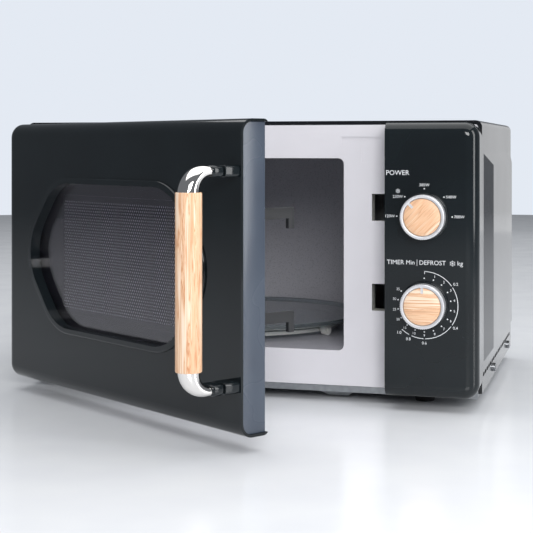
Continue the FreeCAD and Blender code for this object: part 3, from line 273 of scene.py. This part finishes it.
def punched_black_steel():
    """Black-painted steel sheet, punched for the viewing screen."""
    return surfaced("punched_black_steel", "#29282e", 0.42, 0.8, 0.01, "#2d2c32", 0.55, IOR=1.5)


def striped(name, base, dark, axis, pitch_mm, rough, metallic):
    """Layers or windings as bands across one axis, drawn coarse enough to show."""
    material, tree, shader = finish_material(name, base, rough, Metallic=metallic)
    where = place_on(tree)
    wave = add(tree, "ShaderNodeTexWave",
               {"wave_type": "BANDS", "bands_direction": axis.upper()}, Vector=where,
               Scale=0.314 / (pitch_mm * MM), Distortion=0.4)
    tree.links.new(ramp(tree, wave.outputs["Fac"], [(0.1, dark), (0.6, base)]),
                   shader.inputs["Base Color"])
    tree.links.new(spread(tree, noise(tree, where, 8.0), rough * 0.8, rough * 1.2),
                   shader.inputs["Roughness"])
    bump(tree, shader, wave.outputs["Fac"], 0.15)
    return material


def mica_sheet():
    """Pressed mica: layered flakes with a pearly brown sheen."""
    material, tree, shader = finish_material("mica_sheet", "#a08c6c", 0.35, IOR=1.56)
    flakes = add(tree, "ShaderNodeTexVoronoi", None, Vector=place_on(tree, (1, 1, 1.7)),
                 Scale=1 / (3 * MM))
    tree.links.new(ramp(tree, flakes.outputs["Distance"],
                        [(0.0, "#b59f7b"), (0.6, "#94805f"), (1.0, "#7d6c50")]),
                   shader.inputs["Base Color"])
    bump(tree, shader, flakes.outputs["Distance"], 0.02)
    return material


def panel_ink():
    """Pad-printed white ink, slightly raised and matt."""
    return surfaced("panel_ink", "#dfe1e4", 0.6, 0.3, 0.003, "#e6e8ea", 0.7)


def dress(names, material):
    """Gives CAD nodes or new pieces one material, in every slot."""
    for thing in names:
        piece = NODES[thing] if isinstance(thing, str) else thing
        piece.data.materials.clear()
        piece.data.materials.append(material)


# ---- Modelling helpers -------------------------------------------------------------

def only(piece=None):
    """Selects this piece alone."""
    bpy.ops.object.select_all(action="DESELECT")
    if piece:
        piece.select_set(True)
        bpy.context.view_layer.objects.active = piece


def settle(piece, name):
    """Applies a piece's place and names it."""
    only(piece)
    bpy.ops.object.transform_apply(location=True, rotation=True, scale=True)
    piece.name = name
    piece.data.name = name
    return piece


def pick(piece, kind, test):
    """In edit mode, selects the faces, edges or corners that a test of their place picks."""
    bpy.ops.mesh.select_all(action="DESELECT")
    bpy.ops.mesh.select_mode(type={"faces": "FACE", "edges": "EDGE", "verts": "VERT"}[kind])
    mesh = bmesh.from_edit_mesh(piece.data)
    for part in getattr(mesh, kind):
        if kind == "faces":
            part.select_set(bool(test(part.calc_center_median(), part.normal)))
        elif kind == "edges":
            middle = (part.verts[0].co + part.verts[1].co) / 2
            part.select_set(bool(test(middle, part.verts[1].co - part.verts[0].co)))
        else:
            part.select_set(bool(test(part.co, None)))
    bmesh.update_edit_mesh(piece.data)


def modify(piece, kind, **settings):
    """Adds a modifier and applies it."""
    only(piece)
    made = piece.modifiers.new(kind.title(), kind)
    for name, value in settings.items():
        setattr(made, name, value)
    bpy.ops.object.modifier_apply(modifier=made.name)


def bevelled(piece, width_mm, segments=3, angle=35):
    """Eases the sharp edges of a piece and shades it smooth."""
    modify(piece, "BEVEL", width=width_mm * MM, segments=segments, limit_method="ANGLE",
           angle_limit=math.radians(angle), use_clamp_overlap=True)
    bpy.ops.object.shade_smooth_by_angle(angle=math.radians(40))
    return piece


def softened(node, width_mm, segments=3):
    """A copy of a CAD node with its edges eased, which stands for the node."""
    only(NODES[node])
    bpy.ops.object.duplicate()
    piece = bpy.context.view_layer.objects.active
    piece.parent = None
    for key in list(piece.keys()):
        del piece[key]
    bpy.ops.object.mode_set(mode="EDIT")
    bpy.ops.mesh.select_all(action="SELECT")
    bpy.ops.mesh.remove_doubles(threshold=0.00001)
    bpy.ops.mesh.dissolve_limited(angle_limit=math.radians(0.8))
    bpy.ops.object.mode_set(mode="OBJECT")
    settle(piece, f"{node}_eased")
    bevelled(piece, width_mm, segments)
    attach(piece, NODE_BODY[node])
    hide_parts(node)
    return piece


def hung(piece, body):
    """Lets a new piece move with a body."""
    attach(piece, body)
    return piece


# The door's pieces are drawn shut, then turned open about the hinge pins.
HINGE = JOINTS["door_hinge"]
OPEN = math.radians(-HINGE["range_deg"][0])
PIVOT = Vector(HINGE["pos_m"])
SWING = (Matrix.Translation(PIVOT) @ Matrix.Rotation(-OPEN, 4, "Z")
         @ Matrix.Translation(-PIVOT))


def swung(piece):
    """Turns a piece drawn on the shut door to where the door stands."""
    piece.data.transform(SWING)
    return piece


def shut_box(node):
    """A door node's box with the door shut."""
    places = [SWING.inverted() @ v.co for v in NODES[node].data.vertices]
    return (Vector([min(p[i] for p in places) for i in range(3)]),
            Vector([max(p[i] for p in places) for i in range(3)]))


def cube(low, high):
    """A box between two corners, as a primitive to shape further."""
    only()
    middle = (Vector(low) + Vector(high)) / 2
    bpy.ops.mesh.primitive_cube_add(size=1, location=middle)
    piece = bpy.context.view_layer.objects.active
    piece.scale = Vector(high) - Vector(low)
    return settle(piece, "cube")


# ---- Door pieces -------------------------------------------------------------------

def punched_screen():
    """The viewing screen: one punched cell, repeated in staggered rows, with plain edges."""
    low, high = shut_box("perforated_screen")
    middle = (low + high) / 2
    pitch = 3.0 * MM
    hole_radius = 0.98 * MM
    rim = 0.35 * MM
    near = 2e-5
    row = pitch * math.sqrt(3) / 2
    columns = 61
    row_pairs = 19
    only()
    bpy.ops.mesh.primitive_grid_add(x_subdivisions=2, y_subdivisions=2, size=1)
    screen = bpy.context.view_layer.objects.active
    screen.scale = (pitch, row, 1)
    settle(screen, "punched_screen")
    bpy.ops.object.mode_set(mode="EDIT")
    bpy.ops.mesh.select_all(action="SELECT")
    bpy.ops.mesh.inset(thickness=rim, depth=0)
    bpy.ops.mesh.delete(type="FACE")
    pick(screen, "verts", lambda c, n: abs(c.x) < 0.45 * pitch and abs(c.y) < 0.45 * row)
    bpy.ops.transform.tosphere(value=1)
    grow = hole_radius / mean_reach(screen)
    bpy.ops.transform.resize(value=(grow, grow, 1), center_override=(0, 0, 0))
    bpy.ops.mesh.select_all(action="SELECT")
    bpy.ops.mesh.duplicate_move(TRANSFORM_OT_translate={"value": (pitch / 2, row, 0)})
    bpy.ops.object.mode_set(mode="OBJECT")
    for count, step in ((columns, (pitch, 0, 0)), (row_pairs, (0, 2 * row, 0))):
        modify(screen, "ARRAY", count=count, use_relative_offset=False,
               use_constant_offset=True, constant_offset_displace=step,
               use_merge_vertices=True, merge_threshold=near)
    wide = (columns - 0.5) * pitch
    tall = (2 * row_pairs - 1) * row
    screen.location = (-wide / 2, -tall / 2, 0)
    settle(screen, "punched_screen")
    bpy.ops.object.mode_set(mode="EDIT")
    for side in (-1, 1):
        border = side * (high.x - low.x) / 2
        pick(screen, "edges", lambda c, d: abs(d.x) < 1e-6 and min(
            abs(side * c.x - wide / 2), abs(side * c.x - wide / 2 - pitch / 2)) < near)
        only_borders(screen)
        bpy.ops.mesh.extrude_region()
        bpy.ops.transform.resize(value=(0, 1, 1), center_override=(border, 0, 0))
    for side in (-1, 1):
        border = side * (high.z - low.z) / 2
        pick(screen, "edges", lambda c, d: abs(side * c.y - tall / 2 - row / 2) < near)
        only_borders(screen)
        bpy.ops.mesh.extrude_region()
        bpy.ops.transform.resize(value=(1, 0, 1), center_override=(0, border, 0))
    bpy.ops.mesh.select_all(action="SELECT")
    bpy.ops.mesh.remove_doubles(threshold=0.00001)
    bpy.ops.object.mode_set(mode="OBJECT")
    modify(screen, "SOLIDIFY", thickness=0.5 * MM, offset=0)
    screen.rotation_euler = (math.pi / 2, 0, 0)
    screen.location = middle
    settle(screen, "punched_screen")
    swung(screen)
    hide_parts("perforated_screen")
    return hung(screen, "door")


def mean_reach(piece):
    """How far the selected corners lie from the origin, on average."""
    mesh = bmesh.from_edit_mesh(piece.data)
    reaches = [v.co.length for v in mesh.verts if v.select]
    return sum(reaches) / len(reaches)


def only_borders(piece):
    """Keeps, of the selected edges, those with one face."""
    mesh = bmesh.from_edit_mesh(piece.data)
    for edge in [e for e in mesh.edges if e.select and len(e.link_faces) != 1]:
        edge.select_set(False)
    mesh.select_flush_mode()
    bmesh.update_edit_mesh(piece.data)


def knurled_ring(name):
    """The knob's silver ring: fine grip flutes, a rolled lip and a well for the wood."""
    low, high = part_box(f"{name}_knob_ring")
    radius = (high[0] - low[0]) / 2
    middle = Vector(((low[0] + high[0]) / 2, 0, (low[2] + high[2]) / 2))
    depth = high[1] - low[1]
    only()
    bpy.ops.mesh.primitive_cylinder_add(
        vertices=144, radius=radius - 0.35 * MM, depth=depth,
        location=(middle.x, (low[1] + high[1]) / 2, middle.z), rotation=(math.pi / 2, 0, 0))
    ring = settle(bpy.context.view_layer.objects.active, f"{name}_ring_fluted")
    bpy.ops.object.mode_set(mode="EDIT")
    pick(ring, "faces", lambda c, n: n.y < -0.9)
    bpy.ops.mesh.inset(thickness=0.7 * MM, depth=0)
    bpy.ops.mesh.inset(thickness=1.8 * MM, depth=0)
    bpy.ops.mesh.inset(thickness=0.25 * MM, depth=-2.4 * MM)
    flutes = 72

    def on_rib(c, n):
        turn = math.atan2(c.z - middle.z, c.x - middle.x)
        rib = int(round(turn / (math.pi / flutes) - 0.5)) % 2
        reach = math.hypot(c.x - middle.x, c.z - middle.z)
        return abs(n.y) < 0.3 and rib == 0 and reach > radius - 1.2 * MM and c.y < high[1]

    pick(ring, "faces", on_rib)
    bpy.ops.mesh.inset(thickness=0.12 * MM, depth=0.3 * MM, use_individual=True)
    bpy.ops.object.mode_set(mode="OBJECT")
    bevelled(ring, 0.25, 2, 50)
    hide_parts(f"{name}_knob_ring")
    return hung(ring, f"{name}_knob")


def wood_inlay(name, turn):
    """A wooden disc set in the ring, its face very slightly crowned, and a silver mark."""
    low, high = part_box(f"{name}_knob_inlay")
    middle = Vector(((low[0] + high[0]) / 2, 0, (low[2] + high[2]) / 2))
    radius = 16.05 * MM
    only()
    bpy.ops.mesh.primitive_cylinder_add(
        vertices=96, radius=radius, depth=1.8 * MM,
        location=(middle.x, low[1] + 1.3 * MM, middle.z), rotation=(math.pi / 2, 0, 0))
    disc = settle(bpy.context.view_layer.objects.active, f"{name}_inlay_disc")
    bpy.ops.object.mode_set(mode="EDIT")
    pick(disc, "faces", lambda c, n: n.y < -0.9)
    bpy.ops.mesh.inset(thickness=0.5 * MM, depth=0.25 * MM)
    bpy.ops.mesh.inset(thickness=7 * MM, depth=0.1 * MM)
    bpy.ops.object.mode_set(mode="OBJECT")
    bevelled(disc, 0.12, 2, 30)
    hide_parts(f"{name}_knob_inlay")
    mark = cube((middle.x - 1.1 * MM, low[1] - 0.25 * MM, middle.z + radius - 4.6 * MM),
                (middle.x + 1.1 * MM, low[1] + 1.2 * MM, middle.z + radius + 0.8 * MM))
    bpy.ops.object.mode_set(mode="EDIT")
    pick(mark, "faces", lambda c, n: n.y < -0.9)
    bpy.ops.mesh.inset(thickness=0.35 * MM, depth=-0.12 * MM)
    bpy.ops.object.mode_set(mode="OBJECT")
    spin = (Matrix.Translation(middle) @ Matrix.Rotation(turn, 4, "Y")
            @ Matrix.Translation(-middle))
    mark.data.transform(spin)
    mark.name = f"{name}_mark"
    bevelled(mark, 0.2, 2)
    hung(mark, f"{name}_knob")
    return hung(disc, f"{name}_knob"), mark


def wood_grip():
    """The handle's wooden sleeve: a rod with softly turned ends."""
    low, high = shut_box("wood_grip")
    radius = (high.x - low.x) / 2
    middle = (low + high) / 2
    only()
    bpy.ops.mesh.primitive_cylinder_add(vertices=64, radius=radius, depth=high.z - low.z,
                                        location=middle)
    grip = settle(bpy.context.view_layer.objects.active, "grip_sleeve")
    bpy.ops.object.mode_set(mode="EDIT")
    pick(grip, "faces", lambda c, n: abs(n.z) > 0.9)
    bpy.ops.mesh.inset(thickness=1.0 * MM, depth=0, use_individual=True)
    pick(grip, "edges", lambda c, d: abs(abs(c.z - middle.z) - (high.z - low.z) / 2) < 1e-5
         and math.hypot(c.x - middle.x, c.y - middle.y) > radius - 0.3 * MM)
    bpy.ops.mesh.bevel(offset=0.8 * MM, segments=4, affect="EDGES")
    bpy.ops.object.mode_set(mode="OBJECT")
    only(grip)
    bpy.ops.object.shade_smooth_by_angle(angle=math.radians(40))
    swung(grip)
    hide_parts("wood_grip")
    return hung(grip, "door")


def elbows():
    """Two bright elbows, round at the grip and flatter at the arm, with black sleeves behind."""
    low, high = shut_box("chrome_elbows")
    grip_low, grip_high = shut_box("wood_grip")
    middle_x = (low.x + high.x) / 2
    wide = (high.x - low.x) / 2
    bar_y = (grip_low.y + grip_high.y) / 2
    arm_half = 4.5 * MM
    reach = high.z - arm_half - grip_high.z
    steps = 12
    squeeze = (arm_half / wide) ** (1 / steps)
    made = []
    sleeves = []
    for end, sign in ((grip_high.z, 1), (grip_low.z, -1)):
        only()
        bpy.ops.mesh.primitive_circle_add(vertices=40, radius=wide, fill_type="NGON",
                                          location=(middle_x, bar_y, end))
        piece = settle(bpy.context.view_layer.objects.active, "elbow")
        bpy.ops.object.mode_set(mode="EDIT")
        bpy.ops.mesh.select_all(action="SELECT")
        here = Vector((middle_x, bar_y, end))
        for step in range(1, steps + 1):
            angle = math.pi / 2 * step / steps
            there = Vector((middle_x, bar_y + reach * (1 - math.cos(angle)),
                            end + sign * reach * math.sin(angle)))
            bpy.ops.mesh.extrude_region()
            bpy.ops.transform.translate(value=there - here)
            bpy.ops.transform.rotate(value=-sign * (angle - math.pi / 2 / steps),
                                     orient_axis="X", center_override=there)
            bpy.ops.transform.resize(value=(1, squeeze, 1), center_override=there)
            bpy.ops.transform.rotate(value=sign * angle, orient_axis="X",
                                     center_override=there)
            here = there
        bpy.ops.mesh.select_all(action="SELECT")
        bpy.ops.mesh.remove_doubles(threshold=1e-6)
        bpy.ops.mesh.normals_make_consistent(inside=False)
        bpy.ops.object.mode_set(mode="OBJECT")
        only(piece)
        bpy.ops.object.shade_smooth_by_angle(angle=math.radians(50))
        swung(piece)
        piece.name = "elbow_upper" if sign > 0 else "elbow_lower"
        made.append(hung(piece, "door"))
        sleeve = cube((low.x, here.y - 1e-4, here.z - arm_half),
                      (high.x, high.y, here.z + arm_half))
        bevelled(swung(sleeve), 3.5, 5)
        sleeve.name = f"arm_sleeve_{'upper' if sign > 0 else 'lower'}"
        sleeves.append(hung(sleeve, "door"))
    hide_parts("chrome_elbows")
    return made, sleeves


# ---- Printing on the panel ---------------------------------------------------------

PANEL_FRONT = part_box("control_panel")[0][1]
INK_OUT = 0.06 * MM


def printed(text, x, z, tall_mm, align="CENTER"):
    """Generic dial lettering as a thin film on the panel."""
    only()
    bpy.ops.object.text_add(location=(0, 0, 0))
    piece = bpy.context.view_layer.objects.active
    piece.data.body = text
    piece.data.size = tall_mm * MM / 0.7
    piece.data.align_x = align
    piece.data.align_y = "CENTER"
    piece.data.extrude = INK_OUT / 2
    piece.data.resolution_u = 3
    only(piece)
    bpy.ops.object.convert(target="MESH")
    piece = bpy.context.view_layer.objects.active
    piece.rotation_euler = (math.pi / 2, 0, 0)
    piece.location = (x, PANEL_FRONT - INK_OUT / 2, z)
    return settle(piece, "printed")


def dot(x, z, radius_mm):
    """A printed round dot."""
    only()
    bpy.ops.mesh.primitive_cylinder_add(
        vertices=16, radius=radius_mm * MM, depth=INK_OUT,
        location=(x, PANEL_FRONT - INK_OUT / 2, z), rotation=(math.pi / 2, 0, 0))
    return settle(bpy.context.view_layer.objects.active, "dot")


def stroke(x, z, long_mm, wide_mm, angle):
    """A short straight line about its middle."""
    piece = cube((-wide_mm / 2 * MM, -INK_OUT, -long_mm / 2 * MM),
                 (wide_mm / 2 * MM, 0, long_mm / 2 * MM))
    piece.data.transform(Matrix.Translation((x, PANEL_FRONT, z))
                         @ Matrix.Rotation(angle, 4, "Y"))
    return piece


def snowflake(x, z, size_mm):
    """Three crossed bars and six short ones across their ends."""
    return [stroke(x, z, size_mm, 0.3, math.radians(turn)) for turn in (0, 60, 120)] + [
        stroke(x + 0.34 * size_mm * MM * math.sin(math.radians(turn)),
               z + 0.34 * size_mm * MM * math.cos(math.radians(turn)),
               0.36 * size_mm, 0.28, math.radians(turn + 90)) for turn in range(0, 360, 60)]


def arc(x, z, radius_mm, start, end, wide_mm=0.55):
    """A printed arc between two angles, clockwise from the top."""
    only()
    bpy.ops.mesh.primitive_circle_add(vertices=240, radius=radius_mm * MM,
                                      fill_type="NOTHING", location=(0, 0, 0))
    piece = bpy.context.view_layer.objects.active
    bpy.ops.object.mode_set(mode="EDIT")
    bpy.ops.mesh.select_mode(type="VERT")
    bpy.ops.mesh.select_all(action="SELECT")
    bpy.ops.mesh.extrude_region()
    grow = 1 - wide_mm / radius_mm
    bpy.ops.transform.resize(value=(grow, grow, 1), center_override=(0, 0, 0))

    def outside(c, n):
        turn = math.degrees(math.atan2(c.x, c.y)) % 360
        return not start < turn < end

    pick(piece, "faces", outside)
    bpy.ops.mesh.delete(type="FACE")
    bpy.ops.mesh.select_all(action="SELECT")
    bpy.ops.mesh.extrude_region()
    bpy.ops.transform.translate(value=(0, 0, INK_OUT))
    bpy.ops.mesh.select_all(action="SELECT")
    bpy.ops.mesh.normals_make_consistent(inside=False)
    bpy.ops.object.mode_set(mode="OBJECT")
    piece.rotation_euler = (math.pi / 2, 0, 0)
    piece.location = (x, PANEL_FRONT, z)
    return settle(piece, "arc")


def joined(pieces, name):
    """Makes one piece of several."""
    only()
    for piece in pieces:
        piece.select_set(True)
    bpy.context.view_layer.objects.active = pieces[0]
    bpy.ops.object.join()
    return settle(bpy.context.view_layer.objects.active, name)


def about(centre, radius_mm, degrees):
    """The place at this radius and this angle clockwise from the top."""
    turn = math.radians(degrees)
    return (centre[0] + radius_mm * MM * math.sin(turn),
            centre[1] + radius_mm * MM * math.cos(turn))


def power_scale(centre):
    """The print round the power knob."""
    pieces = []
    for degrees, label, align in ((-90, "120W", "RIGHT"), (-45, "230W", "RIGHT"),
                                  (0, "385W", "CENTER"), (45, "540W", "LEFT"),
                                  (90, "700W", "LEFT")):
        x, z = about(centre, 24.3, degrees)
        pieces.append(dot(x, z, 0.62))
        side = {"RIGHT": -1.6, "CENTER": 0, "LEFT": 1.6}[align] * MM
        rise = 3.2 * MM if align == "CENTER" else 0
        pieces.append(printed(label, x + side, z + rise, 2.5, align))
    pieces += snowflake(centre[0] - 23.2 * MM, centre[1] + 22.2 * MM, 4.2)
    pieces.append(printed("POWER", centre[0] - 34.0 * MM, centre[1] + 38.0 * MM, 4.2, "LEFT"))
    return joined(pieces, "power_scale_print")


def timer_scale(centre):
    """The print round the timer knob: minutes inside, defrosting weights outside."""
    pieces = []
    marks = list(range(10)) + [10, 15, 20, 25, 30, 35]
    for step, mark in enumerate(marks):
        degrees = 20 * step
        x, z = about(centre, 23.4, degrees)
        pieces.append(dot(x, z, 0.62))
        if mark:
            x, z = about(centre, 26.6, degrees)
            pieces.append(printed(str(mark), x, z, 2.2))
    for start, end in ((0.5, 54), (57, 124), (127, 178), (182, 203), (207, 222)):
        pieces.append(arc(*centre, 29.6, start, end))
    x, z = about(centre, 28.4, 0.4)
    pieces.append(stroke(x, z, 2.6, 0.5, 0))
    for degrees, label in ((55.5, "0.2"), (125.5, "0.4"), (180, "0.6"), (205, "0.8"),
                           (222, "1.0")):
        x, z = about(centre, 33.2, degrees)
        pieces.append(printed(label, x, z, 2.5))
    row = centre[1] + 36.8 * MM
    pieces.append(printed("TIMER", centre[0] - 33.0 * MM, row, 3.9, "LEFT"))
    pieces.append(printed("Min", centre[0] - 16.2 * MM, row, 3.7, "LEFT"))
    pieces.append(stroke(centre[0] - 6.4 * MM, row, 5.4, 0.35, 0))
    pieces.append(printed("DEFROST", centre[0] - 4.6 * MM, row, 3.9, "LEFT"))
    pieces += snowflake(centre[0] + 24.6 * MM, row, 5.4)
    pieces.append(printed("kg", centre[0] + 28.6 * MM, row, 3.9, "LEFT"))
    return joined(pieces, "timer_scale_print")


# ---- Looks -------------------------------------------------------------------------

FINISHES = {
    "black_enamel": black_enamelled_steel(),
    "black_gloss": gloss_black_abs(),
    "white_enamel": white_enamelled_steel(),
    "grey_enamel": grey_cavity_enamel(),
    "zinc_steel": galvanised_steel("galvanised_steel", "#a0a3a6", "#abaeb1", "#94979b"),
    "dark_steel": galvanised_steel("blued_steel", "#6c7076", "#757980", "#62666c"),
    "core_steel": striped("laminated_core_steel", "#6f7174", "#3c3d40", "z", 0.9, 0.45, 0.9),
    "spring_steel": brushed_steel("drawn_spring_steel", "#8b8d90", "z"),
    "shaft_steel": brushed_steel("turned_shaft_steel", "#b4b6b9", "y"),
    "copper_wire": striped("enamelled_copper_wire", "#b8682f", "#6d3413", "z", 0.8, 0.3, 0.8),
    "magnetron_metal": brushed_steel("magnetron_plated_steel", "#b9b4a6", "x"),
    "silver_ring": satin_silver_plating(),
    "chrome": polished_chrome(),
    "beech": beech_foil("beech_grip", "z", 3.2),
    "smoked_glass": smoked_glass(),
    "clear_film": clear_film(),
    "tray_glass": tray_glass(),
    "smoked_plastic": moulded("smoked_insert_plastic", "#3f4754", "#464f5c", 0.24, 1.2),
    "white_plastic": moulded("white_nylon", "#dcdcd6", "#e3e3de"),
    "black_plastic": moulded("black_pbt_plastic", "#1a1b1d", "#202124"),
    "motor_steel": brushed_steel("motor_can_steel", "#a6a8ab", "z"),
    "mica": mica_sheet(),
    "board": moulded("phenolic_board", "#a98a4f", "#9c7d45", 0.5, 1.0),
    "rubber": moulded("nitrile_rubber", "#17171a", "#1f1f22", 0.7, 0.5),
}

for node, slot in SLOTS.items():
    dress([node], FINISHES[slot])


# ---- The pieces --------------------------------------------------------------------

dress([punched_screen(), "door_frame"], punched_black_steel())
bright, sleeves = elbows()
dress(bright, FINISHES["chrome"])
dress(sleeves, FINISHES["black_gloss"])
dress([wood_grip()], FINISHES["beech"])

INK = panel_ink()
for name in ("power", "timer"):
    joint = JOINTS[f"{name}_dial"]
    centre = (joint["pos_m"][0], joint["pos_m"][2])
    turn = math.radians(-45 if name == "power" else 0)
    dress([knurled_ring(name)], FINISHES["silver_ring"])
    disc, mark = wood_inlay(name, turn)
    grain = beech_foil(f"beech_disc_{name}", "x", 3.0, turn)
    dress([disc], grain)
    dress([mark], FINISHES["silver_ring"])
    dress([softened(f"{name}_knob_skirt", 0.6)], FINISHES["black_gloss"])
    scale = power_scale(centre) if name == "power" else timer_scale(centre)
    dress([hung(scale, "oven")], INK)

for node, width in (("handle_arms", 1.2), ("latch_hooks", 0.6), ("edge_insert", 0.3)):
    dress([softened(node, width)], FINISHES[SLOTS[node]])


# ---- The room ----------------------------------------------------------------------

def studio_floor():
    """A pale glossy table, plain on every side."""
    only()
    bpy.ops.mesh.primitive_circle_add(vertices=96, radius=3.2, fill_type="NGON",
                                      location=(0, 0, -0.0002))
    floor = settle(bpy.context.view_layer.objects.active, "studio_floor")
    pale = surfaced("pale_lacquered_table", "#eceef2", 0.16, 40.0, 0.02, "#eff1f4", 0.22,
                    IOR=1.45)
    floor.data.materials.append(pale)


def soft_light(name, where, at, wide, tall, watts):
    """A soft box that faces a point and is itself out of sight."""
    only()
    bpy.ops.object.light_add(type="AREA", location=where)
    lamp = bpy.context.view_layer.objects.active
    lamp.name = name
    lamp.data.shape = "RECTANGLE"
    lamp.data.size = wide
    lamp.data.size_y = tall
    lamp.data.energy = watts
    lamp.visible_camera = False
    lamp.rotation_euler = (Vector(at) - Vector(where)).to_track_quat("-Z", "Y").to_euler()


studio_floor()
soft_light("overhead_softbox", (0.0, 0.3, 1.9), (0, 0.3, 0), 3.0, 3.0, 52)
soft_light("right_softbox", (1.25, -0.45, 0.55), (0.1, -0.1, 0.15), 0.35, 1.0, 7)
soft_light("side_glow", (0.46, 2.2, 0.5), (0.22, 0, 0.12), 0.5, 1.2, 1.1)
soft_light("front_fill", (0.75, -2.1, 0.9), (0.0, -0.1, 0.12), 0.9, 0.7, 27)

bpy.context.scene.view_settings.view_transform = "Standard"
world = bpy.data.worlds.new("studio")
bpy.context.scene.world = world
world.use_nodes = True
backdrop = world.node_tree.nodes["Background"]
backdrop.inputs["Color"].default_value = colour("#dfe5ee")
# The backdrop itself is bright, but it lights and mirrors as a dimmer room.
seen = add(world.node_tree, "ShaderNodeLightPath").outputs["Is Camera Ray"]
world.node_tree.links.new(spread(world.node_tree, seen, 0.24, 1.05), backdrop.inputs["Strength"])

camera = bpy.data.objects.new("camera", bpy.data.cameras.new("camera"))
bpy.context.scene.collection.objects.link(camera)
camera.location = (0.3432, -1.290, 0.2313)
camera.rotation_euler = (math.radians(90), 0, math.radians(15.68))
camera.data.sensor_width = 36
camera.data.lens = 86.67
camera.data.shift_y = -0.2233
bpy.context.scene.camera = camera
